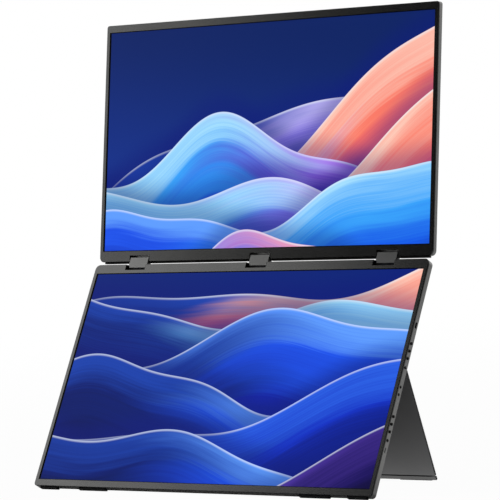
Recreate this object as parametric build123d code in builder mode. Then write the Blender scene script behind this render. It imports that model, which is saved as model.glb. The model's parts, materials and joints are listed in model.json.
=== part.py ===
from build123d import *
import os
from math import atan2, cos, degrees, radians, sin

os.makedirs("parts", exist_ok=True)

# Two 15.6 inch screens stacked one over the other, joined by three links and propped by a kickstand.
# Every size is in millimetres and every angle in degrees.
# Along a unit, "from the hinge" is counted from its hinge-side edge; "depth" is behind its front face.

# Screens and their borders
screen_width = 344.16
screen_height = 193.59
side_border = 4.12
lower_hinge_border = 9.1
lower_foot_border = 6.5
upper_hinge_border = 10.0
upper_top_border = 6.9

# Casings
wall = 1.0
bezel_lip = 0.6
bezel_rim_depth = 1.6
bezel_edge_break = 0.35
window_margin = 0.7
lower_thickness = 10.0
lower_edge_flat = 6.4
lower_edge_slope = 3.6
lower_hinge_corner = 4.6
lower_far_corner = 2.8
upper_thickness = 6.8
upper_edge_flat = 5.4
upper_edge_slope = 5.0
upper_hinge_corner = 4.4
upper_far_corner = 2.2
least_corner = 0.6

# Panel stack behind each bezel
glass_thickness = 0.9
guide_thickness = 1.2
tray_sheet = 0.3
tray_gap = 0.1
glass_side_margin = 1.6
glass_hinge_margin = 2.0
glass_far_margin = 3.6

# Hinge links, their pins and the brackets that carry them
link_from_side = 44.95
link_width = 20.4
link_half_thickness = 2.4
link_end = 2.0
link_front_bevel = 1.3
link_rear_corner = 1.9
link_edge_break = 0.25
notch_width = 22.0
lower_notch = 5.5
upper_notch = 5.6
notch_mouth = 1.9
notch_floor_gap = 0.15
lower_pin_depth = 4.6
upper_pin_depth = 2.4
lower_pin_to_edge = 1.5
upper_pin_to_edge = 2.1
closed_gap = 1.3
pin_radius = 1.0
running_gap = 0.05
seat_gap = 0.02
lug_sheet = 0.6
lug_radius = 1.8
lower_lug_end = 2.85
upper_lug_end = 1.8
lug_side_gap = 0.1
lug_overlap = 0.45
cheek_front = 0.5
cheek_inset = 0.15
bracket_gap = 0.1
bracket_reach = 12.0

# Soft black strip along the upper unit's hinge edge
strip_height = 1.5
strip_front = 2.0
strip_across = 3.0
strip_end_inset = 4.6

# Small screws
screw_radius = 0.8
screw_head_radius = 1.4
screw_head = 0.35
screw_tip_gap = 0.1
boss_radius = 2.1
bracket_screw_spacing = 12.0
bracket_screw_in = 6.0
lower_bracket_screw = 3.0
upper_bracket_screw = 2.0

# Pose in which the object stands
upper_bend = 21.1
kick_opening = 50.2

# Kickstand and its pocket in the lower rear cover
kick_from_side = 7.7
kick_sheet = 1.85
kick_reach = 111.3
kick_axis_from_hinge = 87.1
kick_axis_depth = 7.9
kick_inner_step = 0.05
kick_plate_drop = 2.6
pocket_top_drop = 1.0
kick_side_gap = 0.4
kick_end_gap = 0.9
pocket_depth = 2.2
barrel_from_side = 66.2
barrel_length = 24.0
barrel_radius = 1.9
barrel_gap = 0.35
kick_pin_radius = 0.9
ear_sheet = 1.2
ear_gap = 0.15
ear_radius = 1.6
ear_base = 0.8
ear_base_gap = 0.1
kick_screw_offset = 8.0
scoop_length = 44.0
scoop_reach = 5.0
scoop_depth = 1.2
scoop_floor = 0.8

# Rubber feet
foot_drop = 1.5
foot_start = 1.9
foot_across = 4.2
heel_depth = 5.2
inner_foot_from_left = 63.2
inner_foot_from_right = 57.7
inner_foot_length = 29.0
corner_foot_from_side = 15.4
corner_foot_length = 18.4

# Edge rail along the kickstand's free end and the rubber pads under it
rail_height = 3.1
rail_groove = 1.0
kick_pad_height = 0.5
kick_pad_overhang = 1.4
kick_pad_length = 31.0
kick_pad_from_end = 5.0
kick_tongue = 0.8
kick_tongue_length = 2.0
kick_tongue_gap = 0.02
kick_tongue_inset = 4.0

# Push buttons and lights on the right side
button_radius = 1.2
button_gap = 0.1
button_proud = 0.7
power_proud = 0.4
light_sink = 0.3
side_feature_depth = 3.4
upper_button_places = (74.9, 81.5, 88.1)
upper_power_place = 96.3
lower_button_places = (139.1, 145.7, 152.3)
lower_power_place = 159.9
light_places = (113.3, 119.9)
flange = 0.7
flange_gap = 0.05
flange_half = 1.9
flange_front = 1.5
arm_half = 1.2
arm_front = 0.3
arm_rear = 1.8
arm_reach = 3.2
button_travel = 0.35
switch_gap = 0.1
switch_length = 2.8
switch_half = 1.7
switch_height = 2.1
plunger_length = 0.3
plunger_radius = 0.6
button_board_width = 8.4
button_board_margin = 6.0
board_sheet = 1.0

# Lock slot and shallow grip groove on the right side
lock_place = 58.6
lock_depth = 3.7
lock_slot_length = 5.6
lock_slot_width = 2.4
lock_plate = 0.9
lock_plate_half_length = 6.0
lock_plate_half_width = 1.9
groove_place = 168.4
groove_length = 4.4
groove_width = 1.2
groove_cut = 0.7

# Sockets on the left side
port_depth = 4.65
port_inset = 0.3
port_room = 0.12
port_sheet = 0.3
port_back = 0.5
port_length = 7.4
port_height = 3.16
usb_places = (25.5, 50.5, 75.5)
usb_width = 8.94
usb_tongue = 6.69
hdmi_places = (38.0, 63.0)
hdmi_width = 11.2
hdmi_bevel = 0.9
hdmi_tongue = 8.0
tongue_sheet = 0.7
tongue_length = 4.5

# Boards, speakers and flat cables
main_board_width = 68.0
main_board_start = 19.5
main_board_end = 82.5
main_board_wall_gap = 0.6
board_screw_inset = 3.6
board_screw_length = 2.4
source_board_from_side = 52.08
source_board_height = 9.0
source_board_from_far = 12.0
thin_board = 0.8
driver_board_from_link = 17.0
driver_board_start = 12.0
driver_board_height = 30.0
cable_width = 20.0
cable_sheet = 0.3
lower_cable_from_board = 55.9
upper_cable_from_post = 15.5
speaker_from_board = 7.8
speaker_from_hinge = 45.0
speaker_width = 36.0
speaker_height = 16.0
speaker_thickness = 3.8
speaker_corner = 3.0
grille_slots = 5
grille_pitch = 5.0
grille_slot_width = 1.4
grille_slot_length = 11.0
post_from_side = 36.2
post_from_link = 81.25
lower_post_rows = (105.0, 180.0)
upper_post_rows = (65.0, 150.0)
post_radius = 2.5

# Threaded inserts for a 75 mm mounting plate on the back of the lower unit
vesa_spacing = 75.0
vesa_top_from_hinge = 8.0
insert_bore = 2.0
insert_radius = 2.9
insert_length = 4.6
insert_boss_radius = 3.9

# Sizes that follow from the ones above
unit_width = screen_width + 2 * side_border
half_width = unit_width / 2
link_x = half_width - link_from_side
link_places = (-link_x, 0.0, link_x)
barrel_x = half_width - barrel_from_side
barrel_places = (-barrel_x, barrel_x)
outer_post = half_width - post_from_side
inner_post = link_x - post_from_link
post_columns = (-outer_post, -inner_post, inner_post, outer_post)
upper_cable_place = inner_post + upper_cable_from_post
kick_width = unit_width - 2 * kick_from_side
source_board_width = screen_width - 2 * source_board_from_side
lower_height = lower_hinge_border + screen_height + lower_foot_border
upper_height = upper_hinge_border + screen_height + upper_top_border
pin_spacing = lower_pin_depth + upper_pin_depth + closed_gap
glass_front = bezel_lip
guide_front = glass_front + glass_thickness
tray_back = guide_front + guide_thickness + tray_sheet
pocket_floor = lower_thickness - pocket_depth
pan_back = pocket_floor - wall
pocket_half = kick_width / 2 + kick_side_gap
pocket_top = kick_axis_from_hinge + pocket_top_drop
pocket_end = kick_axis_from_hinge + kick_reach + kick_end_gap
lower_floor = lower_thickness - wall
board_front = port_depth + port_height / 2
board_rear = board_front + board_sheet
insert_front = lower_thickness - insert_length
wall_inside = half_width - wall
lug_inner = link_width / 2 + lug_side_gap
lug_outer = lug_inner + lug_sheet
driver_board_place = link_x / 2
driver_board_width = link_x - 2 * (lug_outer + driver_board_from_link)

# The lower unit leans back so far that its feet and the kickstand's foot share one floor.
opening = radians(kick_opening)
kick_foot_depth = kick_axis_depth + kick_reach * sin(opening)
kick_foot_from_hinge = kick_axis_from_hinge + kick_reach * cos(opening)
heel_from_hinge = lower_height + foot_drop
lean = atan2(heel_from_hinge - kick_foot_from_hinge, kick_foot_depth - heel_depth)
upper_lean = lean - radians(upper_bend)


def leaning_plane(origin, angle):
    return Plane(origin=origin, x_dir=(1, 0, 0), z_dir=(0, -cos(angle), sin(angle)))


# Heights and depths are first found with the lower hinge edge at zero, then the whole object is
# shifted so that it stands on the floor with the middle of its box over the origin.
draft_lower = leaning_plane((0, 0, 0), lean)
draft_pin = draft_lower.from_local_coords((0, pin_spacing - lower_pin_to_edge, -lower_pin_depth))
draft_upper = leaning_plane(draft_pin, upper_lean)
front_toe = draft_lower.from_local_coords((0, -lower_height, -bezel_edge_break))
heel = draft_lower.from_local_coords((0, -heel_from_hinge, -heel_depth))
rear_crest = draft_upper.from_local_coords(
    (0, upper_height - upper_pin_to_edge - upper_edge_slope, upper_pin_depth - upper_thickness)
)
shift = Vector(0, -(front_toe.Y + rear_crest.Y) / 2, -heel.Z)

lower_plane = leaning_plane(shift, lean)
upper_pin_point = draft_pin + shift
upper_pin_plane = leaning_plane(upper_pin_point, upper_lean)
upper_plane = leaning_plane(
    upper_pin_plane.from_local_coords((0, -upper_pin_to_edge, upper_pin_depth)), upper_lean
)
kick_axis_point = lower_plane.from_local_coords((0, -kick_axis_from_hinge, -kick_axis_depth))
kick_plane = leaning_plane(kick_axis_point, lean - opening)


class Unit:
    def __init__(self, plane, side, height, flat, thickness, slope, corners, notch, lug_end, pin, borders):
        self.plane = plane
        self.side = side
        self.height = height
        self.flat = flat
        self.thickness = thickness
        self.slope = slope
        self.hinge_corner, self.far_corner = corners
        self.notch = notch
        self.lug_end = lug_end
        self.pin_to_edge, self.pin_depth = pin
        self.hinge_border, self.far_border = borders
        self.plate_rear = self.pin_depth + lug_radius
        self.plate_front = self.plate_rear - lug_sheet
        self.plate_start = notch + wall + bracket_gap


lower = Unit(
    lower_plane, -1, lower_height, lower_edge_flat, lower_thickness, lower_edge_slope,
    (lower_hinge_corner, lower_far_corner), lower_notch, lower_lug_end,
    (lower_pin_to_edge, lower_pin_depth), (lower_hinge_border, lower_foot_border),
)
upper = Unit(
    upper_plane, 1, upper_height, upper_edge_flat, upper_thickness, upper_edge_slope,
    (upper_hinge_corner, upper_far_corner), upper_notch, upper_lug_end,
    (upper_pin_to_edge, upper_pin_depth), (upper_hinge_border, upper_top_border),
)


def save(part, name):
    part.label = name
    export_step(part, f"parts/{name}.step")


def face_plane(unit, depth):
    return unit.plane.offset(-depth)


def side_plane(unit, x):
    # Looks along the width: first coordinate up the unit, second towards its front.
    return Plane(unit.plane.from_local_coords((x, 0, 0)), x_dir=unit.plane.y_dir, z_dir=(1, 0, 0))


def outline(unit, depth, inset=0.0):
    # The unit's outline at one depth, with its hinge-side and far corners rounded.
    with BuildSketch(face_plane(unit, depth)) as profile:
        with Locations((0, unit.side * unit.height / 2)):
            Rectangle(unit_width - 2 * inset, unit.height - 2 * inset)
        far = -1 if unit.side > 0 else 0
        hinge = 0 if unit.side > 0 else -1
        fillet(profile.vertices().group_by(Axis.Y)[far], max(unit.far_corner - inset, least_corner))
        fillet(profile.vertices().group_by(Axis.Y)[hinge], max(unit.hinge_corner - inset, least_corner))
    return profile.sketch


def panel_area(unit, depth, start, end, width, x=0.0):
    # A rectangle on the unit between two distances from the hinge.
    with BuildSketch(face_plane(unit, depth)) as profile:
        with Locations((x, unit.side * (start + end) / 2)):
            Rectangle(width, end - start)
    return profile.sketch


def spots(unit, depth, places, radius):
    # Discs at (x, from the hinge) places.
    with BuildSketch(face_plane(unit, depth)) as profile:
        with Locations(*[(x, unit.side * away) for x, away in places]):
            Circle(radius)
    return profile.sketch


def notches(unit, grow=0.0):
    with BuildSketch(face_plane(unit, 0)) as profile:
        with Locations(*[(x, 0) for x in link_places]):
            Rectangle(notch_width + 2 * grow, 2 * (unit.notch + grow))
    return profile.sketch


def notch_mouths(unit):
    # The part of each notch that is open right through, for the link to swing towards the back.
    with BuildSketch(face_plane(unit, 0)) as profile:
        with Locations(*[(x, 0) for x in link_places]):
            Rectangle(notch_width, 2 * (unit.pin_to_edge + notch_mouth))
    return profile.sketch


def lug_slots(unit):
    with BuildSketch(face_plane(unit, unit.pin_depth - lug_radius - bracket_gap)) as profile:
        middle = (lug_inner + lug_outer) / 2
        with Locations(*[(x + turn * middle, 0) for x in link_places for turn in (-1, 1)]):
            Rectangle(lug_sheet + 2 * lug_side_gap, 2 * (unit.plate_start + bracket_gap))
    return profile.sketch


def bracket_screw_places(unit):
    away = unit.plate_start + bracket_screw_in
    half = bracket_screw_spacing / 2
    return [(x + turn * half, away) for x in link_places for turn in (-1, 1)]


def post_places(rows):
    return [(x, away) for x in post_columns for away in rows]


def panel_edges(unit):
    start = unit.hinge_border - glass_hinge_margin
    end = unit.hinge_border + screen_height + glass_far_margin
    return start, end, screen_width + 2 * glass_side_margin


def make_bezel(unit):
    with BuildPart() as bezel:
        extrude(outline(unit, 0), amount=-bezel_rim_depth)
        front = bezel.faces().sort_by(Axis(unit.plane.origin, unit.plane.z_dir))[-1]
        chamfer(front.edges(), bezel_edge_break)
        extrude(outline(unit, bezel_lip, wall), amount=bezel_lip - bezel_rim_depth, mode=Mode.SUBTRACT)
        start = unit.hinge_border - window_margin
        end = unit.hinge_border + screen_height + window_margin
        window = panel_area(unit, 0, start, end, screen_width + 2 * window_margin)
        extrude(window, amount=-bezel_rim_depth, mode=Mode.SUBTRACT)
        extrude(notches(unit), amount=-bezel_rim_depth, mode=Mode.SUBTRACT)
    return bezel.part


def make_glass(unit):
    start, end, width = panel_edges(unit)
    with BuildPart() as glass:
        extrude(panel_area(unit, glass_front, start, end, width), amount=-glass_thickness)
    return glass.part


def make_guide(unit):
    start, end, width = panel_edges(unit)
    inset = tray_sheet + tray_gap
    with BuildPart() as guide:
        area = panel_area(unit, guide_front, start + inset, end - inset, width - 2 * inset)
        extrude(area, amount=-guide_thickness)
    return guide.part


def make_tray(unit):
    start, end, width = panel_edges(unit)
    with BuildPart() as tray:
        extrude(panel_area(unit, guide_front, start, end, width), amount=guide_front - tray_back)
        inside = panel_area(
            unit, guide_front, start + tray_sheet, end - tray_sheet, width - 2 * tray_sheet
        )
        extrude(inside, amount=-guide_thickness, mode=Mode.SUBTRACT)
    return tray.part


def make_source_board(unit):
    middle = unit.height - source_board_from_far
    start = middle - source_board_height / 2
    with BuildPart() as board:
        area = panel_area(unit, tray_back, start, start + source_board_height, source_board_width)
        extrude(area, amount=-thin_board)
    return board.part


def make_flat_cable(unit, x, start):
    end = unit.height - source_board_from_far - source_board_height / 2
    with BuildPart() as cable:
        extrude(panel_area(unit, tray_back, start, end, cable_width, x), amount=-cable_sheet)
    return cable.part


def make_brackets(unit):
    # A plate behind the panel with two lugs that reach into the notch, one each side of the link,
    # and a dark cheek on each lug that fills the notch beside the link.
    with BuildPart() as brackets:
        for x in link_places:
            end = unit.plate_start + bracket_reach
            plate = panel_area(unit, unit.plate_front, unit.plate_start, end, 2 * lug_outer, x)
            extrude(plate, amount=-lug_sheet)
            for left in (x - lug_outer, x + lug_inner):
                with BuildSketch(side_plane(unit, left)) as lug:
                    with Locations((unit.side * unit.pin_to_edge, -unit.pin_depth)):
                        Circle(unit.lug_end)
                    root = unit.plate_start + lug_overlap
                    with Locations((unit.side * (unit.pin_to_edge + root) / 2, -unit.pin_depth)):
                        Rectangle(root - unit.pin_to_edge, 2 * lug_radius)
                    cheek_middle = -(cheek_front + unit.pin_depth) / 2
                    with Locations((unit.side * unit.notch / 2, cheek_middle)):
                        Rectangle(unit.notch - 2 * cheek_inset, unit.pin_depth - cheek_front)
                extrude(lug.sketch, amount=lug_sheet)
            with BuildSketch(side_plane(unit, x - lug_outer)) as bore:
                with Locations((unit.side * unit.pin_to_edge, -unit.pin_depth)):
                    Circle(pin_radius + seat_gap)
            extrude(bore.sketch, amount=2 * lug_outer, mode=Mode.SUBTRACT)
        holes = spots(unit, unit.plate_front, bracket_screw_places(unit), screw_radius + seat_gap)
        extrude(holes, amount=-lug_sheet, mode=Mode.SUBTRACT)
    return brackets.part


def make_pins(unit):
    with BuildPart() as pins:
        for x in link_places:
            with BuildSketch(side_plane(unit, x - lug_outer)) as section:
                with Locations((unit.side * unit.pin_to_edge, -unit.pin_depth)):
                    Circle(pin_radius)
            extrude(section.sketch, amount=2 * lug_outer)
    return pins.part


def make_screws(unit, places, head_front, length):
    # Flat-headed screws driven from the front; length is counted under the head.
    with BuildPart() as screws:
        extrude(spots(unit, head_front, places, screw_head_radius), amount=-screw_head)
        shank_front = head_front + screw_head
        extrude(spots(unit, shank_front, places, screw_radius), amount=-length)
    return screws.part


def screw_bosses(unit, places, front, radius=boss_radius):
    return extrude(spots(unit, front, places, radius), amount=front - unit.thickness, mode=Mode.PRIVATE)


def cover_block(unit):
    # The rear cover's outer shape: a straight edge, then a slope in towards the back.
    extrude(outline(unit, bezel_rim_depth), amount=bezel_rim_depth - unit.flat)
    loft([outline(unit, unit.flat), outline(unit, unit.thickness, unit.slope)], ruled=True)


def cover_hollow(unit):
    # The room inside the cover, open towards the bezel.
    extrude(outline(unit, 0, wall), amount=-unit.flat)
    rear = outline(unit, unit.thickness - wall, unit.slope)
    loft([outline(unit, unit.flat, wall), rear], ruled=True)
    extrude(notches(unit, wall), amount=-unit.thickness, mode=Mode.SUBTRACT)


def cut_hinge_seats(unit, screw_length):
    notch_depth = unit.pin_depth + link_half_thickness + notch_floor_gap
    extrude(notches(unit), amount=-notch_depth, mode=Mode.SUBTRACT)
    extrude(notch_mouths(unit), amount=-unit.thickness, mode=Mode.SUBTRACT)
    extrude(lug_slots(unit), amount=-2 * (lug_radius + bracket_gap), mode=Mode.SUBTRACT)
    holes = spots(unit, unit.plate_front, bracket_screw_places(unit), screw_radius + seat_gap)
    extrude(holes, amount=-(screw_length + screw_tip_gap), mode=Mode.SUBTRACT)


# Pieces that both units have
for unit, name in ((lower, "lower"), (upper, "upper")):
    save(make_bezel(unit), f"{name}_front_bezel")
    save(make_glass(unit), f"{name}_screen_glass")
    save(make_guide(unit), f"{name}_light_guide")
    save(make_tray(unit), f"{name}_panel_tray")
    save(make_source_board(unit), f"{name}_panel_board")
    save(make_brackets(unit), f"{name}_hinge_brackets")
    save(make_pins(unit), f"{name}_hinge_pins")

lower_screws = make_screws(
    lower, bracket_screw_places(lower), lower.plate_front - screw_head, lower_bracket_screw
)
save(lower_screws, "lower_bracket_screws")
upper_screws = make_screws(
    upper, bracket_screw_places(upper), upper.plate_front - screw_head, upper_bracket_screw
)
save(upper_screws, "upper_bracket_screws")

# Hinge links: flat-fronted bars with bevelled ends and rounded backs, bored for a pin at each end
link_names = ("left", "centre", "right")
for name, x in zip(link_names, link_places):
    with BuildPart() as link:
        with BuildSketch(side_plane(lower, x - link_width / 2)) as section:
            with Locations((pin_spacing / 2 - lower_pin_to_edge, -lower_pin_depth)):
                Rectangle(pin_spacing + 2 * link_end, 2 * link_half_thickness)
            chamfer(section.vertices().group_by(Axis.Y)[-1], link_front_bevel)
            fillet(section.vertices().group_by(Axis.Y)[0], link_rear_corner)
        extrude(amount=link_width)
        ends = link.faces().filter_by(Axis.X)
        chamfer(ends.edges(), link_edge_break)
        with BuildSketch(side_plane(lower, x - link_width / 2)) as bores:
            with Locations((pin_spacing / 2 - lower_pin_to_edge, -lower_pin_depth)):
                with GridLocations(pin_spacing, 0, 2, 1):
                    Circle(pin_radius + running_gap)
        extrude(amount=link_width, mode=Mode.SUBTRACT)
    save(link.part, f"hinge_link_{name}")

# Upper rear cover with its screw bosses and the posts that back the panel tray
with BuildPart() as upper_hollow:
    cover_hollow(upper)
    add(screw_bosses(upper, bracket_screw_places(upper), upper.plate_rear), mode=Mode.SUBTRACT)
    add(screw_bosses(upper, post_places(upper_post_rows), tray_back, post_radius), mode=Mode.SUBTRACT)

with BuildPart() as upper_rear_cover:
    cover_block(upper)
    add(upper_hollow.part, mode=Mode.SUBTRACT)
    cut_hinge_seats(upper, upper_bracket_screw)
save(upper_rear_cover.part, "upper_rear_cover")

# Soft strip in four lengths between and beside the links
with BuildPart() as upper_edge_strip:
    with BuildSketch(face_plane(upper, strip_front)) as strip:
        with Locations((0, -strip_height / 2)):
            Rectangle(unit_width - 2 * strip_end_inset, strip_height)
        with Locations(*[(x, -strip_height / 2) for x in link_places]):
            Rectangle(notch_width, strip_height, mode=Mode.SUBTRACT)
    extrude(amount=-strip_across)
save(upper_edge_strip.part, "upper_edge_strip")

with BuildPart() as upper_driver_board:
    driver_end = driver_board_start + driver_board_height
    driver_area = panel_area(
        upper, tray_back, driver_board_start, driver_end, driver_board_width, driver_board_place
    )
    extrude(driver_area, amount=-thin_board)
save(upper_driver_board.part, "upper_driver_board")
save(make_flat_cable(upper, upper_cable_place, driver_end), "upper_flat_cable")

# Places on the lower unit, as x and distance from the hinge
slope_rate = (lower_edge_slope - wall) / (lower_floor - lower_edge_flat)
board_inset = wall + max(0, board_rear - lower_edge_flat) * slope_rate
board_left = board_inset + main_board_wall_gap - half_width
board_right = board_left + main_board_width
board_middle = (board_left + board_right) / 2
lower_cable_place = board_left + lower_cable_from_board
speaker_x = board_right + speaker_from_board + speaker_width / 2
speaker_places = (speaker_x, -speaker_x)
board_screw_places = [
    (x, away)
    for x in (board_left + port_length + board_screw_inset, board_right - board_screw_inset)
    for away in (main_board_start + board_screw_inset, main_board_end - board_screw_inset)
]
insert_places = [
    (turn * vesa_spacing / 2, vesa_top_from_hinge + drop)
    for turn in (-1, 1)
    for drop in (0, vesa_spacing)
]
kick_screw_places = [
    (x + turn * kick_screw_offset, kick_axis_from_hinge) for x in barrel_places for turn in (-1, 1)
]
osd_places = upper_button_places + lower_button_places
power_places = (upper_power_place, lower_power_place)
side_hole_places = osd_places + power_places + light_places

# Kickstand hinge seats: a deeper bay in the pocket for each barrel and its ears
ear_inner = barrel_length / 2 + ear_gap
ear_outer = ear_inner + ear_sheet
bay_half = ear_outer + ear_gap
bay_top = kick_axis_from_hinge - barrel_radius - barrel_gap
bay_floor = kick_axis_depth - barrel_radius - ear_base_gap - ear_base
bay_end = kick_axis_from_hinge + ear_radius + barrel_gap


def pocket_bays(depth, grow=0.0):
    with BuildSketch(face_plane(lower, depth)) as profile:
        with Locations(*[(x, -(bay_top + bay_end) / 2) for x in barrel_places]):
            Rectangle(2 * (bay_half + grow), bay_end - bay_top + 2 * grow)
    return profile.sketch


def right_side_holes(gap):
    with BuildSketch(side_plane(lower, half_width)) as profile:
        with Locations(*[(-away, -side_feature_depth) for away in side_hole_places]):
            Circle(button_radius + gap)
    return profile.sketch


def lock_opening(x):
    with BuildSketch(side_plane(lower, x)) as profile:
        with Locations((-lock_place, -lock_depth)):
            SlotOverall(lock_slot_length, lock_slot_width)
    return profile.sketch


def usb_mouth(x, room=0.0):
    with BuildSketch(side_plane(lower, x)) as profile:
        with Locations(*[(-away, -port_depth) for away in usb_places]):
            SlotOverall(usb_width + 2 * room, port_height + 2 * room)
    return profile.sketch


def hdmi_mouth(x, room=0.0):
    with BuildSketch(side_plane(lower, x)) as profile:
        with Locations(*[(-away, -port_depth) for away in hdmi_places]):
            Rectangle(hdmi_width + 2 * room, port_height + 2 * room)
        rear_corners = profile.vertices().group_by(Axis.Y)[0]
        chamfer(rear_corners, hdmi_bevel)
    return profile.sketch


# Lower rear cover: the hollow leaves the kickstand pan, bosses and posts standing
with BuildPart() as lower_hollow:
    cover_hollow(lower)
    pan = panel_area(lower, pan_back, pocket_top - wall, pocket_end + wall, 2 * (pocket_half + wall))
    extrude(pan, amount=pan_back - lower_thickness, mode=Mode.SUBTRACT)
    bay_back = bay_floor - wall
    extrude(pocket_bays(bay_back, wall), amount=bay_back - lower_thickness, mode=Mode.SUBTRACT)
    scoop_back = lower_thickness - scoop_depth - scoop_floor
    scoop_end = pocket_end + scoop_reach
    scoop_wall = panel_area(lower, scoop_back, pocket_end, scoop_end + wall, scoop_length + 2 * wall)
    extrude(scoop_wall, amount=scoop_back - lower_thickness, mode=Mode.SUBTRACT)
    add(screw_bosses(lower, bracket_screw_places(lower), lower.plate_rear), mode=Mode.SUBTRACT)
    add(screw_bosses(lower, post_places(lower_post_rows), tray_back, post_radius), mode=Mode.SUBTRACT)
    add(screw_bosses(lower, board_screw_places, board_rear), mode=Mode.SUBTRACT)
    add(screw_bosses(lower, insert_places, insert_front, insert_boss_radius), mode=Mode.SUBTRACT)

with BuildPart() as lower_rear_cover:
    cover_block(lower)
    add(lower_hollow.part, mode=Mode.SUBTRACT)
    cut_hinge_seats(lower, lower_bracket_screw)
    pocket = panel_area(lower, pocket_floor, pocket_top, pocket_end, 2 * pocket_half)
    extrude(pocket, amount=-pocket_depth, mode=Mode.SUBTRACT)
    extrude(pocket_bays(bay_floor), amount=bay_floor - lower_thickness, mode=Mode.SUBTRACT)
    scoop = panel_area(lower, lower_thickness - scoop_depth, pocket_end, scoop_end, scoop_length)
    extrude(scoop, amount=-scoop_depth, mode=Mode.SUBTRACT)
    # Button, light, lock and socket openings in the side walls
    extrude(right_side_holes(button_gap), amount=-wall, mode=Mode.SUBTRACT)
    extrude(lock_opening(half_width), amount=-wall, mode=Mode.SUBTRACT)
    with BuildSketch(side_plane(lower, half_width)) as groove:
        with Locations((-groove_place, -side_feature_depth)):
            SlotOverall(groove_length, groove_width)
    extrude(amount=-groove_cut, mode=Mode.SUBTRACT)
    extrude(usb_mouth(-half_width, port_room), amount=wall, mode=Mode.SUBTRACT)
    extrude(hdmi_mouth(-half_width, port_room), amount=wall, mode=Mode.SUBTRACT)
    # Seats for screws and inserts, and the speaker grilles
    board_holes = spots(lower, board_rear, board_screw_places, screw_radius + seat_gap)
    extrude(board_holes, amount=-(board_screw_length + screw_tip_gap - board_sheet), mode=Mode.SUBTRACT)
    insert_seats = spots(lower, insert_front, insert_places, insert_radius + seat_gap)
    extrude(insert_seats, amount=insert_front - lower_thickness, mode=Mode.SUBTRACT)
    kick_screw_holes = spots(lower, bay_back, kick_screw_places, screw_radius + seat_gap)
    extrude(kick_screw_holes, amount=-wall, mode=Mode.SUBTRACT)
    with BuildSketch(face_plane(lower, lower_floor)) as grille:
        for x in speaker_places:
            with Locations((x, -speaker_from_hinge)):
                with GridLocations(grille_pitch, 0, grille_slots, 1):
                    SlotOverall(grille_slot_length, grille_slot_width, rotation=90)
    extrude(amount=-wall, mode=Mode.SUBTRACT)
save(lower_rear_cover.part, "lower_rear_cover")

# Main board and its screws, behind the sockets
with BuildPart() as main_board:
    extrude(
        panel_area(lower, board_front, main_board_start, main_board_end, main_board_width, board_middle),
        amount=-board_sheet,
    )
    through = spots(lower, board_front, board_screw_places, screw_radius + seat_gap)
    extrude(through, amount=-board_sheet, mode=Mode.SUBTRACT)
save(main_board.part, "main_board")
save(
    make_screws(lower, board_screw_places, board_front - screw_head, board_screw_length),
    "main_board_screws",
)
save(make_flat_cable(lower, lower_cable_place, main_board_end), "lower_flat_cable")

# Sockets: a sheet-metal shell closed at the back, with a contact tongue inside
mouth_x = -half_width + port_inset
hole_length = port_length - port_back
tongue_x = mouth_x + port_length - port_back - tongue_length


def socket_tongues(places, width):
    with BuildSketch(side_plane(lower, tongue_x)) as profile:
        with Locations(*[(-away, -port_depth) for away in places]):
            Rectangle(width, tongue_sheet)
    return profile.sketch


with BuildPart() as usb_sockets:
    extrude(usb_mouth(mouth_x), amount=port_length)
    extrude(usb_mouth(mouth_x, -port_sheet), amount=hole_length, mode=Mode.SUBTRACT)
    extrude(socket_tongues(usb_places, usb_tongue), amount=tongue_length)
save(usb_sockets.part, "usb_c_sockets")

with BuildPart() as hdmi_sockets:
    extrude(hdmi_mouth(mouth_x), amount=port_length)
    extrude(hdmi_mouth(mouth_x, -port_sheet), amount=hole_length, mode=Mode.SUBTRACT)
    extrude(socket_tongues(hdmi_places, hdmi_tongue), amount=tongue_length)
save(hdmi_sockets.part, "video_sockets")

# Speakers on the inside of the rear cover, behind their grilles
for name, x in zip(("left", "right"), speaker_places):
    with BuildPart() as speaker:
        with BuildSketch(face_plane(lower, lower_floor - speaker_thickness)) as box:
            with Locations((x, -speaker_from_hinge)):
                RectangleRounded(speaker_width, speaker_height, speaker_corner)
        extrude(amount=-speaker_thickness)
    save(speaker.part, f"{name}_speaker")

# Threaded inserts for the mounting plate
with BuildPart() as vesa_inserts:
    extrude(spots(lower, insert_front, insert_places, insert_radius), amount=-insert_length)
    bores = spots(lower, insert_front, insert_places, insert_bore)
    extrude(bores, amount=-insert_length, mode=Mode.SUBTRACT)
save(vesa_inserts.part, "vesa_inserts")

# Push buttons and light pipes: a round end in the wall, a flange inside it, an arm to the board
flange_x = wall_inside - flange_gap - flange
arm_x = flange_x + flange - arm_reach


def button_shape(away, proud):
    with BuildSketch(side_plane(lower, flange_x)) as foot:
        with Locations((-away, -side_feature_depth + (flange_front - arm_rear) / 2)):
            Rectangle(2 * flange_half, flange_front + arm_rear)
    extrude(foot.sketch, amount=flange)
    with BuildSketch(side_plane(lower, flange_x)) as cap:
        with Locations((-away, -side_feature_depth)):
            Circle(button_radius)
    extrude(cap.sketch, amount=half_width + proud - flange_x)
    with BuildSketch(side_plane(lower, arm_x)) as arm:
        with Locations((-away, -side_feature_depth - (arm_rear + arm_front) / 2)):
            Rectangle(2 * arm_half, arm_rear - arm_front)
    extrude(arm.sketch, amount=arm_reach)


def make_button(away, proud):
    with BuildPart() as button:
        button_shape(away, proud)
    return button.part


for screen, places, power in (
    ("upper", upper_button_places, upper_power_place),
    ("lower", lower_button_places, lower_power_place),
):
    for key, away in zip(("menu", "plus", "minus"), places):
        save(make_button(away, button_proud), f"{screen}_{key}_button")
    save(make_button(power, power_proud), f"{screen}_power_button")

with BuildPart() as status_lights:
    for away in light_places:
        button_shape(away, -light_sink)
save(status_lights.part, "status_lights")

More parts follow.
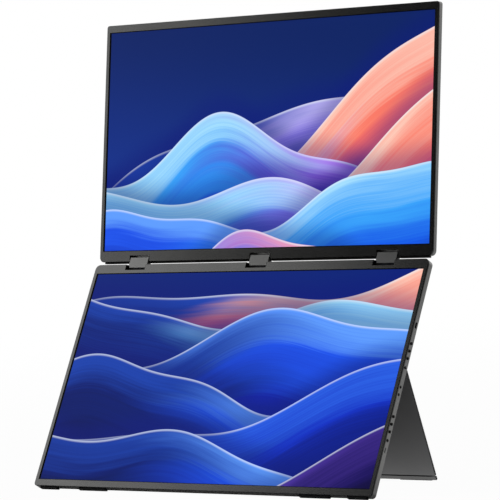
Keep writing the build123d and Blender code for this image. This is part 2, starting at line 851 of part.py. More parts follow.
# Button board on the back of the pocket pan, with a side-pressed switch for each button
board_edge = arm_x - button_travel - switch_gap - plunger_length
button_board_front = pan_back - board_sheet
with BuildPart() as button_board:
    extrude(
        panel_area(
            lower,
            button_board_front,
            min(osd_places) - button_board_margin,
            max(power_places) + button_board_margin,
            button_board_width,
            board_edge - button_board_width / 2,
        ),
        amount=-board_sheet,
    )
save(button_board.part, "button_board")

with BuildPart() as tact_switches:
    for away in osd_places + power_places:
        body = panel_area(
            lower,
            button_board_front - switch_height,
            away - switch_half,
            away + switch_half,
            switch_length,
            board_edge - switch_length / 2,
        )
        extrude(body, amount=-switch_height)
        with BuildSketch(side_plane(lower, board_edge)) as plunger:
            with Locations((-away, switch_height / 2 - button_board_front)):
                Circle(plunger_radius)
        extrude(amount=plunger_length)
save(tact_switches.part, "tact_switches")

# Steel plate behind the lock slot
with BuildPart() as lock_plate_piece:
    with BuildSketch(side_plane(lower, wall_inside - lock_plate)) as sheet:
        with Locations((-lock_place, -lock_depth)):
            Rectangle(2 * lock_plate_half_length, 2 * lock_plate_half_width)
    extrude(amount=lock_plate)
    extrude(lock_opening(wall_inside - lock_plate), amount=lock_plate, mode=Mode.SUBTRACT)
save(lock_plate_piece.part, "lock_plate")

# Rubber feet under the lower edge, each with a sole that lies on the floor
foot_middle = -lower_height - foot_drop / 2
for name, from_left, from_right, length in (
    ("corner_feet", corner_foot_from_side, corner_foot_from_side, corner_foot_length),
    ("inner_feet", inner_foot_from_left, inner_foot_from_right, inner_foot_length),
):
    with BuildPart() as feet:
        with BuildSketch(face_plane(lower, foot_start)) as pads:
            with Locations((from_left - half_width, foot_middle), (half_width - from_right, foot_middle)):
                Rectangle(length, foot_drop)
        extrude(amount=-foot_across)
        split(bisect_by=Plane.XY, keep=Keep.TOP)
    save(feet.part, name)

# Kickstand plate with a hinge barrel at each side
rail_end = kick_reach - kick_pad_height
rail_start = rail_end - rail_height
plate_end = rail_start - rail_groove


def kick_area(depth, start, end, width, x=0.0):
    # A rectangle on the kickstand between two distances from its axis.
    with BuildSketch(kick_plane.offset(-depth)) as profile:
        with Locations((x, -(start + end) / 2)):
            Rectangle(width, end - start)
    return profile.sketch


def kick_discs(length, radius):
    # Discs about the kickstand's axis, one at the left end of each barrel.
    discs = []
    for x in barrel_places:
        left = kick_plane.from_local_coords((x - length / 2, 0, 0))
        with BuildSketch(Plane(left, x_dir=kick_plane.y_dir, z_dir=(1, 0, 0))) as disc:
            Circle(radius)
        discs.append(disc.sketch)
    return discs


tongue_front = kick_inner_step + (kick_sheet - kick_tongue) / 2
with BuildPart() as kickstand_plate:
    extrude(kick_area(kick_inner_step, kick_plate_drop, plate_end, kick_width), amount=-kick_sheet)
    for x in barrel_places:
        extrude(kick_area(kick_inner_step, 0, kick_plate_drop, barrel_length, x), amount=-kick_sheet)
    for disc in kick_discs(barrel_length, barrel_radius):
        extrude(disc, amount=barrel_length)
    tongue_end = plate_end + kick_tongue_length
    tongue_area = kick_area(tongue_front, plate_end, tongue_end, kick_width - 2 * kick_tongue_inset)
    extrude(tongue_area, amount=-kick_tongue)
    for disc in kick_discs(barrel_length, kick_pin_radius + running_gap):
        extrude(disc, amount=barrel_length, mode=Mode.SUBTRACT)
save(kickstand_plate.part, "kickstand_plate")

with BuildPart() as kickstand_rail:
    extrude(kick_area(kick_inner_step, rail_start, rail_end, kick_width), amount=-kick_sheet)
    slot_width = kick_width - 2 * kick_tongue_inset + 2 * kick_tongue_gap
    slot_end = tongue_end + kick_tongue_gap
    slot_area = kick_area(tongue_front - kick_tongue_gap, rail_start, slot_end, slot_width)
    extrude(slot_area, amount=-(kick_tongue + 2 * kick_tongue_gap), mode=Mode.SUBTRACT)
save(kickstand_rail.part, "kickstand_rail")

with BuildPart() as kickstand_pads:
    pad_x = kick_width / 2 - kick_pad_from_end - kick_pad_length / 2
    for x in (-pad_x, pad_x):
        pad_end = kick_reach + kick_pad_overhang
        extrude(kick_area(kick_inner_step, rail_end, pad_end, kick_pad_length, x), amount=-kick_sheet)
    split(bisect_by=Plane.XY, keep=Keep.TOP)
save(kickstand_pads.part, "kickstand_pads")

# Brackets that hold the kickstand's barrels: a base in the bay and an ear at each end
with BuildPart() as kickstand_brackets:
    for x in barrel_places:
        base = panel_area(
            lower,
            bay_floor,
            kick_axis_from_hinge - ear_radius,
            kick_axis_from_hinge + ear_radius,
            2 * ear_outer,
            x,
        )
        extrude(base, amount=-ear_base)
        for left in (x - ear_outer, x + ear_inner):
            with BuildSketch(side_plane(lower, left)) as ear:
                with Locations((-kick_axis_from_hinge, -kick_axis_depth)):
                    Circle(ear_radius)
                with Locations((-kick_axis_from_hinge, -(bay_floor + kick_axis_depth) / 2)):
                    Rectangle(2 * ear_radius, kick_axis_depth - bay_floor)
            extrude(ear.sketch, amount=ear_sheet)
        with BuildSketch(side_plane(lower, x - ear_outer)) as bore:
            with Locations((-kick_axis_from_hinge, -kick_axis_depth)):
                Circle(kick_pin_radius + seat_gap)
        extrude(bore.sketch, amount=2 * ear_outer, mode=Mode.SUBTRACT)
    holes = spots(lower, bay_floor, kick_screw_places, screw_radius + seat_gap)
    extrude(holes, amount=-ear_base, mode=Mode.SUBTRACT)
save(kickstand_brackets.part, "kickstand_brackets")
save(
    make_screws(lower, kick_screw_places, bay_back - screw_head, wall + ear_base),
    "kickstand_bracket_screws",
)

with BuildPart() as kickstand_pins:
    for disc in kick_discs(2 * ear_outer, kick_pin_radius):
        extrude(disc, amount=2 * ear_outer)
save(kickstand_pins.part, "kickstand_pins")

print("lean of the lower unit", round(degrees(lean), 3), "upper", round(degrees(upper_lean), 3))
print("lower pin", lower_plane.from_local_coords((0, -lower_pin_to_edge, -lower_pin_depth)))
print("upper pin", upper_pin_point)
print("kickstand axis", kick_axis_point)
print("hinge edges", lower_plane.origin, upper_plane.origin)
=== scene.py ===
import json
from math import cos, pi, radians, sin

import bmesh
import bpy
from mathutils import Matrix, Vector


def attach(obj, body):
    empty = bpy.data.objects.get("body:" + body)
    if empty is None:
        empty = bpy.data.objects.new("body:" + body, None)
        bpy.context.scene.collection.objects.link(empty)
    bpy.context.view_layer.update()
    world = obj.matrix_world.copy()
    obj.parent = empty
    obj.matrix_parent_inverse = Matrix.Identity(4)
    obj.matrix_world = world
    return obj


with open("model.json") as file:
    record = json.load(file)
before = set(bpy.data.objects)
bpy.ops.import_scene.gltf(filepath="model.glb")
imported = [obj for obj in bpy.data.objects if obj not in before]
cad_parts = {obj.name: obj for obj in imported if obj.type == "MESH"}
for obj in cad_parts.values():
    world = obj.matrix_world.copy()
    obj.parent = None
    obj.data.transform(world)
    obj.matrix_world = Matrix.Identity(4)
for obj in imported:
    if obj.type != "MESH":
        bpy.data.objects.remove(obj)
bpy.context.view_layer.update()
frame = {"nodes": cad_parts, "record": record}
print("frame loaded:", len(frame["nodes"]), "nodes")

mm = 0.001
lowerLean = radians(30.68586)
upperLean = lowerLean - radians(21.1)
kickLean = lowerLean - radians(50.2)


def leaningPlace(origin, lean):
    # x to the right, y up the panel, z out of its front
    up = Vector((0, sin(lean), cos(lean)))
    out = Vector((0, -cos(lean), sin(lean)))
    turn = Matrix((Vector((1, 0, 0)), up, out)).transposed()
    return Matrix.Translation(Vector(origin) * mm) @ turn.to_4x4()


# origins on the hinge-side edge of each unit's front face, and on the kickstand's axis
lowerOrigin = (0, 30.4104, 183.84254)
upperOrigin = (0, 35.1203, 185.672)
kickOrigin = (0, -7.24558, 104.907)
lowerPlace = leaningPlace(lowerOrigin, lowerLean)


class Wire:
    def __init__(self, tree, socket=None):
        self.tree = tree
        self.socket = socket

    def node(self, kind, settings=None, inputs=None, out=0):
        made = self.tree.nodes.new(kind)
        for key, value in (settings or {}).items():
            if key == "stops":
                ramp = made.color_ramp.elements
                while len(ramp) < len(value):
                    ramp.new(1.0)
                for stop, (at, colour) in zip(ramp, value):
                    stop.position = at
                    stop.color = colour
            else:
                setattr(made, key, value)
        for key, value in (inputs or {}).items():
            if isinstance(value, Wire):
                self.tree.links.new(value.socket, made.inputs[key])
            else:
                made.inputs[key].default_value = value
        return Wire(self.tree, made.outputs[out] if made.outputs else None)

    def math(self, operation, *values):
        return self.node("ShaderNodeMath", {"operation": operation}, dict(enumerate(values)))

    def __add__(self, other):
        return self.math("ADD", self, other)

    def __radd__(self, other):
        return self.math("ADD", other, self)

    def __sub__(self, other):
        return self.math("SUBTRACT", self, other)

    def __rsub__(self, other):
        return self.math("SUBTRACT", other, self)

    def __mul__(self, other):
        return self.math("MULTIPLY", self, other)

    def __rmul__(self, other):
        return self.math("MULTIPLY", other, self)

    def __truediv__(self, other):
        return self.math("DIVIDE", self, other)


def tone(red, green, blue):
    # a screen colour from 0 to 255 as the linear colour that shaders take
    def straight(value):
        value = value / 255
        return value / 12.92 if value <= 0.04045 else ((value + 0.055) / 1.055) ** 2.4

    return (straight(red), straight(green), straight(blue), 1.0)


def smooth(start, value, low, high):
    ends = {"Value": value, "From Min": low, "From Max": high}
    return start.node("ShaderNodeMapRange", {"interpolation_type": "SMOOTHSTEP"}, ends)


def blendColour(start, factor, below, above):
    return start.node("ShaderNodeMix", {"data_type": "RGBA"}, {0: factor, 6: below, 7: above}, out=2)


def newMaterial(name, **sockets):
    material = bpy.data.materials.new(name)
    material.use_nodes = True
    shader = material.node_tree.nodes["Principled BSDF"]
    for key, value in sockets.items():
        shader.inputs[key.replace("_", " ")].default_value = value
    start = Wire(material.node_tree)
    place = start.node("ShaderNodeTexCoord", out="Object")
    return material, shader, start, place


def feed(shader, wires):
    for key, wire in wires.items():
        wire.tree.links.new(wire.socket, shader.inputs[key])


def grain(start, place, scale, detail=4.0, rough=0.6):
    inputs = {"Vector": place, "Scale": scale, "Detail": detail, "Roughness": rough}
    return start.node("ShaderNodeTexNoise", None, inputs)


def bump(start, height, strength, distance):
    inputs = {"Height": height, "Strength": strength, "Distance": distance}
    return start.node("ShaderNodeBump", None, inputs)


def stretched(start, place, scale):
    return start.node("ShaderNodeMapping", None, {"Vector": place, "Scale": scale})


# Finishes

def anodised(name, dark, light, rough, wear=0.03):
    # blasted and anodised aluminium: fine sparkle, a slow cloud of tone and faint handling marks
    material, shader, start, place = newMaterial(name, Metallic=1.0)
    fine = grain(start, place, scale=5200, detail=2.0)
    cloud = grain(start, place, scale=14, detail=3.0)
    marks = grain(start, place, scale=60, detail=5.0)
    colour = blendColour(start, smooth(start, cloud, 0.3, 0.7), dark, light)
    feed(shader, {
        "Base Color": colour,
        "Roughness": rough + 0.05 * (fine - 0.5) + wear * (marks - 0.5),
        "Normal": bump(start, fine, strength=0.05, distance=0.00004),
    })
    return material


def moulded(name, dark, light, rough, size=2400, depth=0.00003):
    # moulded plastic with a fine spark-eroded texture
    material, shader, start, place = newMaterial(name, Specular_IOR_Level=0.2)
    texture = grain(start, place, scale=size, detail=3.0)
    cloud = grain(start, place, scale=40, detail=3.0)
    feed(shader, {
        "Base Color": blendColour(start, smooth(start, cloud, 0.35, 0.65), dark, light),
        "Roughness": rough + 0.12 * (texture - 0.5),
        "Normal": bump(start, texture, strength=0.25, distance=depth),
    })
    return material


def leaningCoordinates(start, place, origin, lean):
    # across and up a leaning piece, from its origin
    turned = start.node("ShaderNodeMapping", {"vector_type": "TEXTURE"}, {
        "Vector": place, "Location": Vector(origin) * mm, "Rotation": (pi / 2 - lean, 0, 0)})
    across = start.node("ShaderNodeSeparateXYZ", None, {0: turned}, out="X")
    return across, start.node("ShaderNodeSeparateXYZ", None, {0: turned}, out="Y")


# painted shade on the kickstand and its rail: darker beyond the plate's sides, and in the seam groove that
# lies this far from its axis
kickstandPaintedShade = {
    "side": 168.4 * mm,
    "seam": 106.6 * mm,
    "seamDepth": 1.1 * mm,
    "fade": 0.05 * mm,
    "dark": tone(24, 24, 24),
}


def coated(name, dark, light, rough):
    # powder-coated metal: fine orange peel under a satin skin, with painted shade that darkens the cut sides
    # and the seam groove
    material, shader, start, place = newMaterial(name, Specular_IOR_Level=0.35)
    peel = grain(start, place, scale=1500, detail=2.0)
    cloud = grain(start, place, scale=16, detail=3.0)
    across, up = leaningCoordinates(start, place, kickOrigin, kickLean)
    side, seamDepth, fade = (kickstandPaintedShade[key] for key in ("side", "seamDepth", "fade"))
    # painted shade: the colour goes dark on the side faces and in the seam groove, where shade falls
    shadeAtSide = smooth(start, start.math("ABSOLUTE", across), side, side + fade)
    below = -kickstandPaintedShade["seam"] - up
    shadeInSeam = smooth(start, below, 0, fade) * (1 - smooth(start, below, seamDepth, seamDepth + fade))
    paintedShade = start.math("MAXIMUM", shadeAtSide, shadeInSeam)
    coat = blendColour(start, smooth(start, cloud, 0.3, 0.7), dark, light)
    feed(shader, {
        "Base Color": blendColour(start, paintedShade, coat, kickstandPaintedShade["dark"]),
        "Roughness": rough + 0.06 * (peel - 0.5),
        "Normal": bump(start, peel, strength=0.12, distance=0.00004),
    })
    return material


def rubber(name):
    material, shader, start, place = newMaterial(name, Specular_IOR_Level=0.25)
    dust = grain(start, place, scale=60, detail=5.0)
    skin = grain(start, place, scale=3000, detail=2.0)
    feed(shader, {
        "Base Color": blendColour(start, smooth(start, dust, 0.45, 0.8), tone(18, 18, 18), tone(38, 37, 36)),
        "Roughness": 0.78 + 0.15 * (skin - 0.5),
        "Normal": bump(start, skin, strength=0.3, distance=0.00004),
    })
    return material


def steel(name, dark, light, rough, along=(40, 900, 900)):
    # drawn or rolled steel with lines along one way
    material, shader, start, place = newMaterial(name, Metallic=1.0)
    lines = grain(start, stretched(start, place, along), scale=1.0, detail=4.0)
    feed(shader, {
        "Base Color": blendColour(start, smooth(start, lines, 0.3, 0.7), dark, light),
        "Roughness": rough + 0.16 * (lines - 0.5),
        "Normal": bump(start, lines, strength=0.12, distance=0.00003),
    })
    return material


def laminate(name):
    # green solder mask with buried tracks and a few tinned pads
    material, shader, start, place = newMaterial(name)
    tracks = start.node("ShaderNodeTexVoronoi", {"distance": "CHEBYCHEV", "feature": "F2"},
                        {"Vector": place, "Scale": 160})
    spots = start.node("ShaderNodeTexVoronoi", None, {"Vector": place, "Scale": 240})
    track = smooth(start, tracks, 0.62, 0.7)
    pad = 1 - smooth(start, spots, 0.10, 0.16)
    green = blendColour(start, track, tone(18, 74, 44), tone(32, 104, 62))
    feed(shader, {
        "Base Color": blendColour(start, pad, green, tone(190, 186, 170)),
        "Metallic": pad,
        "Roughness": 0.42 - 0.12 * pad,
        "Normal": bump(start, track, strength=0.2, distance=0.00005),
    })
    return material


def flatFilm(name):
    # amber film with conductors seen through it
    material, shader, start, place = newMaterial(name)
    wires = start.node("ShaderNodeTexWave", {"bands_direction": "X"}, {"Vector": place, "Scale": 320})
    amber = blendColour(start, smooth(start, wires, 0.4, 0.6), tone(150, 96, 30), tone(205, 158, 82))
    feed(shader, {
        "Base Color": amber,
        "Roughness": 0.36 + 0.1 * wires,
    })
    return material


def clearPlastic(name):
    material, shader, start, place = newMaterial(name, IOR=1.49)
    dots = start.node("ShaderNodeTexVoronoi", None, {"Vector": place, "Scale": 420})
    dot = 1 - smooth(start, dots, 0.2, 0.3)
    feed(shader, {
        "Base Color": blendColour(start, dot, tone(232, 236, 238), tone(252, 252, 250)),
        "Roughness": 0.08 + 0.5 * dot,
    })
    return material


def brass(name):
    material, shader, start, place = newMaterial(name, Metallic=1.0)
    turned = grain(start, place, scale=1500, detail=3.0)
    yellow = blendColour(start, smooth(start, turned, 0.3, 0.7), tone(176, 138, 70), tone(214, 178, 104))
    feed(shader, {
        "Base Color": yellow,
        "Roughness": 0.3 + 0.15 * (turned - 0.5),
        "Normal": bump(start, turned, strength=0.15, distance=0.00004),
    })
    return material


# Screens: a lit picture of layered silk waves inside a black border

screenShape = {
    "width": 344.16 * mm,
    "height": 193.59 * mm,
    "lowerHingeBorder": 9.1 * mm,
    "upperHingeBorder": 10.0 * mm,
    "glow": 1.0,
    "leftBlack": 0.0022,
}

# how every cloth bends, folds and catches light, in shares of the screen's width and height
silk = {
    "rippleTurns": 2.3,
    "ripplePhase": 1.7,
    "rippleSwing": 0.3,
    "streak": {"across": 2.2, "slant": 0.8, "count": 18.4, "apart": 3.7, "share": 0.34},
    "thread": {"across": 1.6, "slant": 0.5, "count": 150.0, "apart": 5.3, "share": 0.30},
    "fold": {"across": 3, "count": 26, "stir": 5, "share": 0.10},
    "stops": (0.0, 0.42, 1.0),
    "turnover": (0.25, 0.75),
    "rim": {"start": (-0.001, 0.002), "end": (0.002, 0.014), "share": 0.55, "colour": tone(236, 244, 255)},
    "shadow": {"reach": 0.14, "share": 0.5, "colour": tone(10, 26, 120)},
    "edge": 0.0012,
}

# each cloth: colours at its crest, in its folds and at its foot
skyWave = (tone(168, 226, 255), tone(58, 164, 252), tone(20, 88, 232))
royalWave = (tone(96, 158, 255), tone(30, 84, 236), tone(14, 34, 168))
deepWave = (tone(48, 108, 240), tone(18, 50, 196), tone(8, 18, 104))
navyWave = (tone(26, 66, 172), tone(9, 30, 112), tone(3, 12, 58))
lilacWave = (tone(196, 186, 252), tone(128, 112, 232), tone(66, 58, 180))
violetWave = (tone(168, 116, 238), tone(108, 58, 206), tone(50, 30, 150))
coralWave = (tone(255, 206, 188), tone(252, 124, 104), tone(222, 70, 104))
roseWave = (tone(246, 178, 204), tone(216, 92, 150), tone(152, 48, 146))
duskWave = (tone(70, 48, 150), tone(28, 18, 92), tone(8, 6, 42))

# each wave: height at the left, rise to the right, swing, turns across, phase, left and right colours, depth
upperWaves = (
    (0.20, 0.66, 0.11, 4.6, 0.4, navyWave, lilacWave, 0.55),
    (-0.06, 0.92, 0.09, 5.6, 2.2, violetWave, coralWave, 0.50),
    (0.40, 0.02, 0.16, 6.2, 5.4, skyWave, violetWave, 0.42),
    (-0.40, 1.02, 0.07, 6.6, 0.2, coralWave, coralWave, 0.46),
    (0.34, -0.28, 0.10, 5.2, 4.6, skyWave, lilacWave, 0.40),
    (0.08, 0.20, 0.09, 7.4, 1.2, royalWave, skyWave, 0.36),
    (-0.04, 0.02, 0.10, 8.4, 3.6, royalWave, roseWave, 0.30),
)
lowerWaves = (
    (0.78, 0.24, 0.08, 5.0, 1.0, navyWave, coralWave, 0.45),
    (0.86, -0.10, 0.08, 5.8, 2.6, navyWave, skyWave, 0.46),
    (0.62, 0.10, 0.12, 5.2, 4.4, navyWave, royalWave, 0.46),
    (0.50, -0.08, 0.10, 6.4, 0.6, navyWave, royalWave, 0.44),
    (0.16, 0.34, 0.09, 5.0, 2.4, navyWave, deepWave, 0.40),
    (0.26, -0.26, 0.07, 6.0, 5.2, navyWave, royalWave, 0.34),
    (-0.42, 0.66, 0.06, 5.4, 1.4, deepWave, duskWave, 0.40),
)


def silkLines(start, kind, across, below, number, detail, rough):
    # fine lines that run along a cloth
    along = start.node("ShaderNodeCombineXYZ", None, {
        "X": across * kind["across"] + below * kind["slant"],
        "Y": below * kind["count"],
        "Z": number * kind["apart"],
    })
    return grain(start, along, 1.0, detail, rough)


def silkWaves(start, across, up, ground, waves):
    picture = ground
    folds, rims, shadows, edge = (silk[key] for key in ("fold", "rim", "shadow", "edge"))
    for number, (base, rise, swing, turns, phase, left, right, depth) in enumerate(waves):
        bend = start.math("SINE", across * turns + phase)
        ripple = start.math("SINE", across * (turns * silk["rippleTurns"]) + phase * silk["ripplePhase"])
        crest = base + rise * across + swing * bend + (silk["rippleSwing"] * swing) * ripple
        below = crest - up
        streak = silkLines(start, silk["streak"], across, below, number, detail=3.0, rough=0.55)
        thread = silkLines(start, silk["thread"], across, below, number, detail=2.0, rough=0.7)
        wave = below * folds["count"] + across * folds["across"] + streak * folds["stir"] + phase
        fold = start.math("SINE", wave)
        shade = (
            below / depth + folds["share"] * fold
            + silk["streak"]["share"] * (streak - 0.5) + silk["thread"]["share"] * (thread - 0.5)
        )
        first, second = (
            start.node("ShaderNodeValToRGB", {"stops": tuple(zip(silk["stops"], colours))}, {0: shade})
            for colours in (left, right)
        )
        turnover = smooth(start, across + folds["share"] * fold, *silk["turnover"])
        cloth = blendColour(start, turnover, first, second)
        rim = smooth(start, below, *rims["start"]) * (1 - smooth(start, below, *rims["end"]))
        cloth = blendColour(start, rims["share"] * rim, cloth, rims["colour"])
        shadow = smooth(start, below, -shadows["reach"], 0.0) * shadows["share"]
        picture = blendColour(start, shadow, picture, shadows["colour"])
        picture = blendColour(start, smooth(start, below, -edge, edge), picture, cloth)
    return picture


def litScreen(name, origin, lean, firstEdge, groundLow, groundHigh, waves):
    material, shader, start, place = newMaterial(
        name, Specular_IOR_Level=0.03, Emission_Strength=screenShape["glow"])
    apart, upward = leaningCoordinates(start, place, origin, lean)
    across = apart / screenShape["width"] + 0.5
    up = (upward - firstEdge) / screenShape["height"]
    ground = blendColour(start, smooth(start, up + 0.2 * across, 0.2, 1.1), groundLow, groundHigh)
    picture = silkWaves(start, across, up, ground, waves)
    inside = (
        start.math("GREATER_THAN", across, screenShape["leftBlack"]) * start.math("LESS_THAN", across, 1.0)
        * start.math("GREATER_THAN", up, 0.0) * start.math("LESS_THAN", up, 1.0)
    )
    matt = grain(start, place, scale=6000, detail=2.0)
    feed(shader, {
        "Base Color": blendColour(start, inside, tone(6, 6, 7), tone(9, 10, 14)),
        "Emission Color": blendColour(start, inside, (0, 0, 0, 1), picture),
        "Roughness": 0.30 + 0.06 * matt,
    })
    return material


upperScreen = litScreen(
    "litUpperScreen", upperOrigin, upperLean, screenShape["upperHingeBorder"],
    tone(20, 50, 140), tone(13, 36, 100), upperWaves)
lowerScreen = litScreen(
    "litLowerScreen", lowerOrigin, lowerLean,
    -screenShape["lowerHingeBorder"] - screenShape["height"],
    tone(4, 14, 70), tone(10, 36, 120), lowerWaves)

finishes = {
    "bezel_metal": anodised("bezelGunmetal", (0.058, 0.058, 0.057, 1), (0.066, 0.066, 0.065, 1), 0.21),
    "cover_metal": anodised("coverGunmetal", (0.237, 0.237, 0.233, 1), (0.250, 0.250, 0.245, 1), 0.36),
    "link_metal": anodised("linkGunmetal", (0.105, 0.105, 0.103, 1), (0.120, 0.120, 0.118, 1), 0.33),
    "kickstand_metal": coated("kickstandGunmetal", (0.162, 0.163, 0.164, 1), (0.178, 0.178, 0.180, 1), 0.45),
    "rail_metal": coated("railGunmetal", (0.158, 0.158, 0.158, 1), (0.175, 0.175, 0.175, 1), 0.42),
    "acrylic": clearPlastic("guideAcrylic"),
    "sheet_steel": steel("traySteel", tone(150, 152, 154), tone(188, 190, 192), 0.34),
    "circuit_board": laminate("boardLaminate"),
    "hinge_steel": steel("hingeBlackSteel", tone(20, 20, 21), tone(34, 34, 35), 0.42, (600, 600, 40)),
    "screw_steel": steel("screwSteel", tone(110, 110, 112), tone(160, 160, 162), 0.3, (900, 900, 900)),
    "cable_film": flatFilm("amberFilm"),
    "socket_steel": steel("socketSteel", tone(170, 171, 172), tone(206, 207, 208), 0.28, (60, 700, 700)),
    "speaker_plastic": moulded("speakerBlack", tone(16, 16, 17), tone(26, 26, 27), 0.6),
    "insert_brass": brass("insertBrass"),
    "light_pipe": moulded("lightPipeSmoke", tone(3, 3, 4), tone(6, 6, 7), 0.5, 900, 0.00001),
    "switch_plastic": moulded("switchBlack", tone(18, 18, 20), tone(32, 32, 34), 0.5),
    "button_plastic": moulded("buttonBlack", tone(8, 8, 9), tone(15, 15, 16), 0.5),
    "foot_rubber": rubber("footRubber"),
}
screens = {"upper_screen_glass": upperScreen, "lower_screen_glass": lowerScreen}
for part in frame["record"]["subparts"]:
    node = frame["nodes"][part["node"]]
    finish = screens.get(part["node"]) or finishes[part["material_slot"]]
    node.data.materials.clear()
    node.data.materials.append(finish)
print("finishes on all nodes")


# Small pieces that dress the solids

halfWidth = 176.2 * mm


def spunShape(mesh, profile, place, steps=28):
    # turns (along, out) points about the x axis of the place
    points = [mesh.verts.new((along * mm, out * mm, 0)) for along, out in profile]
    edges = [mesh.edges.new(pair) for pair in zip(points, points[1:])]
    bmesh.ops.spin(
        mesh, geom=points + edges, cent=(0, 0, 0), axis=(1, 0, 0), angle=2 * pi, steps=steps, use_merge=True)
    turned = [corner for corner in mesh.verts if not corner.tag]
    bmesh.ops.transform(mesh, matrix=place, verts=turned)
    for corner in mesh.verts:
        corner.tag = True


def bar(mesh, place, size):
    made = bmesh.ops.create_cube(mesh, size=1.0)
    scale = Matrix.Diagonal(Vector(size) * mm).to_4x4()
    bmesh.ops.transform(mesh, matrix=place @ scale, verts=made["verts"])


def addPiece(name, mesh, body, slot):
    bmesh.ops.remove_doubles(mesh, verts=mesh.verts, dist=1e-7)
    bmesh.ops.recalc_face_normals(mesh, faces=mesh.faces)
    data = bpy.data.meshes.new(name)
    mesh.to_mesh(data)
    mesh.free()
    data.materials.append(finishes[slot])
    data.shade_smooth()
    piece = bpy.data.objects.new(name, data)
    bpy.context.collection.objects.link(piece)
    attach(piece, body)


# domed ends on the push buttons: distance from the hinge and how far the flat end stands out
buttonCaps = {
    "depth": 3.4,
    "profile": ((-0.1, 0), (-0.1, 1.14), (0.02, 1.14), (0.10, 1.04), (0.17, 0.80), (0.21, 0.45), (0.22, 0)),
    "upper_menu_button": (74.9, 0.7),
    "upper_plus_button": (81.5, 0.7),
    "upper_minus_button": (88.1, 0.7),
    "upper_power_button": (96.3, 0.4),
    "lower_menu_button": (139.1, 0.7),
    "lower_plus_button": (145.7, 0.7),
    "lower_minus_button": (152.3, 0.7),
    "lower_power_button": (159.9, 0.4),
}
for body in [key for key in buttonCaps if key.endswith("_button")]:
    away, proud = buttonCaps[body]
    cap = bmesh.new()
    end = Vector((halfWidth + proud * mm, -away * mm, -buttonCaps["depth"] * mm))
    spunShape(cap, buttonCaps["profile"], lowerPlace @ Matrix.Translation(end))
    addPiece(body + "_cap", cap, body, "button_plastic")

# small smoked lenses in the two light holes
lightLenses = {
    "depth": 3.4,
    "sunk": 0.3,
    "places": (113.3, 119.9),
    "profile": ((-0.1, 0), (-0.1, 1.12), (0.48, 1.12), (0.60, 1.0), (0.68, 0.75), (0.73, 0.4), (0.74, 0)),
}
lenses = bmesh.new()
for away in lightLenses["places"]:
    middle = Vector((halfWidth - lightLenses["sunk"] * mm, -away * mm, -lightLenses["depth"] * mm))
    spunShape(lenses, lightLenses["profile"], lowerPlace @ Matrix.Translation(middle))
addPiece("lightLenses", lenses, "lower_display", "light_pipe")

# gold contacts on both faces of each socket's tongue: distance from the hinge, count and pitch
socketContacts = {
    "middle": -171.1,
    "depth": 4.65,
    "lift": 0.36,
    "length": 3.4,
    "across": 0.27,
    "thick": 0.06,
    "rows": ((25.5, 12, 0.5), (50.5, 12, 0.5), (75.5, 12, 0.5), (38.0, 10, 0.74), (63.0, 10, 0.74)),
}
contacts = bmesh.new()
for away, count, pitch in socketContacts["rows"]:
    for number in range(count):
        for face in (-1, 1):
            place = Vector((
                socketContacts["middle"],
                (number - (count - 1) / 2) * pitch - away,
                face * socketContacts["lift"] - socketContacts["depth"],
            )) * mm
            size = (socketContacts["length"], socketContacts["across"], socketContacts["thick"])
            bar(contacts, lowerPlace @ Matrix.Translation(place), size)
addPiece("socketContacts", contacts, "lower_display", "insert_brass")

# threads in the mounting inserts
insertThreads = {
    "across": 37.5,
    "rows": (8.0, 83.0),
    "rear": 10.0,
    "lead": 0.15,
    "turns": 6,
    "pitch": 0.7,
    "fill": 0.96,
    "halfFlat": 0.05,
    "crest": 1.68,
    "root": 2.04,
}
threads = bmesh.new()
for across in (-insertThreads["across"], insertThreads["across"]):
    for away in insertThreads["rows"]:
        axis = Matrix.Rotation(radians(90), 4, "Y")
        middle = Vector((across, -away, -insertThreads["rear"])) * mm
        for number in range(insertThreads["turns"]):
            first = -insertThreads["lead"] - (number + 1) * insertThreads["pitch"]
            peak = first + insertThreads["pitch"] / 2
            last = first + insertThreads["pitch"] * insertThreads["fill"]
            ridge = (
                (first, insertThreads["root"]),
                (peak - insertThreads["halfFlat"], insertThreads["crest"]),
                (peak + insertThreads["halfFlat"], insertThreads["crest"]),
                (last, insertThreads["root"]),
                (first, insertThreads["root"]),
            )
            spunShape(threads, ridge, lowerPlace @ Matrix.Translation(middle) @ axis)
addPiece("insertThreads", threads, "lower_display", "insert_brass")
print("small pieces made")


# Studio: pale floor, white surroundings, soft lights on the left for each unit and a dim one above

studio = {
    "floorSize": 40.0,
    "floorDrop": 0.0002,
    "floorWhite": (0.75, 0.75, 0.75, 1),
    "floorNear": 0.97,
    "nearFade": (0.3, 1.6),
    "footLine": 0.03,
    "bounceFade": (0.01, 0.06),
    "bounceLoss": 0.9,
    "sideShine": 0.45,
    "sideFade": (0.17, 0.25),
    "backFade": (-0.10, 0.0),
    "shineFade": (0.8, 1.6),
    "ambient": 0.25,
    "frontDim": 0.015,
    "frontFade": (0.2, 0.6),
    "aim": (0, 0, 0.2),
    "softLeft": {"middle": (-1.80, -0.98, 0.70), "size": (1.5, 0.9), "level": 2.05},
    "softHigh": {"middle": (-1.59, -0.69, 1.30), "size": (1.1, 0.9), "level": 2.6},
    "softTop": {"middle": (0.5, 0.9, 2.4), "size": (1.8, 1.4), "level": 0.9},
}


def pathOf(start):
    camera = start.node("ShaderNodeLightPath", out="Is Camera Ray")
    glossy = start.node("ShaderNodeLightPath", out="Is Glossy Ray")
    through = start.node("ShaderNodeLightPath", out="Is Transmission Ray")
    return start.math("MAXIMUM", camera, through), glossy


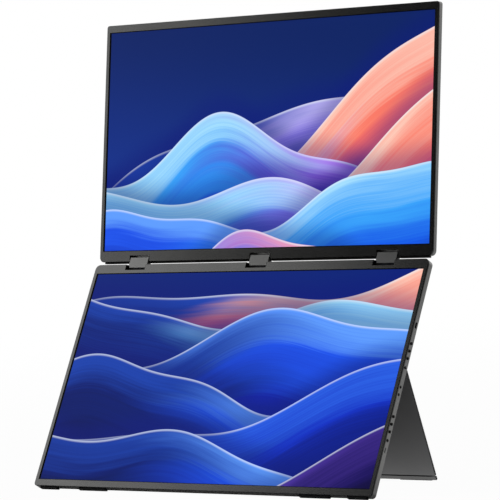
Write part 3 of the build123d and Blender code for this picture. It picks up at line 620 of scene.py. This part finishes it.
def makeFloor():
    mesh = bmesh.new()
    bmesh.ops.create_grid(mesh, x_segments=8, y_segments=8, size=studio["floorSize"] / 2)
    data = bpy.data.meshes.new("paleFloor")
    mesh.to_mesh(data)
    mesh.free()
    floor = bpy.data.objects.new("paleFloor", data)
    floor.location.z = -studio["floorDrop"]
    bpy.context.collection.objects.link(floor)
    material = bpy.data.materials.new("paleFloor")
    material.use_nodes = True
    tree = material.node_tree
    tree.nodes.clear()
    start = Wire(tree)
    seen, glossy = pathOf(start)
    place = start.node("ShaderNodeTexCoord", out="Object")
    away = start.node("ShaderNodeVectorMath", {"operation": "LENGTH"}, {0: place}, out="Value")
    white = studio["floorNear"] + (1 - studio["floorNear"]) * smooth(start, away, *studio["nearFade"])
    dull = start.node("ShaderNodeBsdfDiffuse", None, {"Color": studio["floorWhite"]})
    glow = start.node("ShaderNodeEmission", None, {"Color": (1, 1, 1, 1), "Strength": 1.0})
    depth = start.node("ShaderNodeSeparateXYZ", None, {0: place}, out="Y")
    behind = start.math("ABSOLUTE", depth - studio["footLine"])
    aside = start.node("ShaderNodeSeparateXYZ", None, {0: place}, out="X")
    beside = smooth(start, aside, *studio["sideFade"]) * smooth(start, depth, *studio["backFade"])
    beside = beside * (1 - smooth(start, away, *studio["shineFade"]))
    # the floor lights the kickstand from the foot line, and shines in the units' right sides
    bounce = 1 - studio["bounceLoss"] * smooth(start, behind, *studio["bounceFade"])
    share = seen * white + (1 - seen) * ((1 - glossy) * bounce + glossy * studio["sideShine"] * beside)
    mixed = start.node("ShaderNodeMixShader", None, {0: share, 1: dull, 2: glow})
    start.node("ShaderNodeOutputMaterial", None, {"Surface": mixed})
    data.materials.append(material)


def makeWorld():
    world = bpy.data.worlds.new("whiteStudio")
    bpy.context.scene.world = world
    world.use_nodes = True
    tree = world.node_tree
    tree.nodes.clear()
    start = Wire(tree)
    seen, glossy = pathOf(start)
    direction = start.node("ShaderNodeTexCoord", out="Generated")
    ahead = start.node("ShaderNodeSeparateXYZ", None, {0: direction}, out="Y")
    shine = studio["frontDim"] + (1 - studio["frontDim"]) * smooth(start, ahead, *studio["frontFade"])
    level = glossy * shine + (1 - glossy) * studio["ambient"]
    strength = seen + (1 - seen) * level
    sky = start.node("ShaderNodeBackground", None, {"Color": (1, 1, 1, 1), "Strength": strength})
    start.node("ShaderNodeOutputWorld", None, {"Surface": sky})


def softLight(name, middle, size, level):
    lamp = bpy.data.lights.new(name, "AREA")
    lamp.shape = "RECTANGLE"
    lamp.size, lamp.size_y = size
    lamp.energy = level * pi * size[0] * size[1]
    light = bpy.data.objects.new(name, lamp)
    light.location = middle
    aim = Vector(studio["aim"]) - Vector(middle)
    light.rotation_euler = aim.to_track_quat("-Z", "Y").to_euler()
    bpy.context.collection.objects.link(light)


makeFloor()
makeWorld()
for name in ("softLeft", "softHigh", "softTop"):
    softLight(name, **studio[name])

# the camera's place and axes as seen from the lower unit
view = {
    "place": (1.635353, -0.960754, 1.985611),
    "right": (0.801908, 0.241843, -0.546312),
    "up": (0.018440, 0.903954, 0.427231),
    "lens": 232.387,
    "sensor": 36.0,
    "far": 200,
}
camera = bpy.data.objects.new("camera", bpy.data.cameras.new("camera"))
camera.data.sensor_width = view["sensor"]
camera.data.lens = view["lens"]
camera.data.clip_end = view["far"]
right, up = Vector(view["right"]), Vector(view["up"])
turn = Matrix((right, up, right.cross(up))).transposed()
camera.matrix_world = lowerPlace @ Matrix.Translation(view["place"]) @ turn.to_4x4()
bpy.context.collection.objects.link(camera)
bpy.context.scene.camera = camera
bpy.context.scene.view_settings.view_transform = "Standard"
print("studio and camera ready")
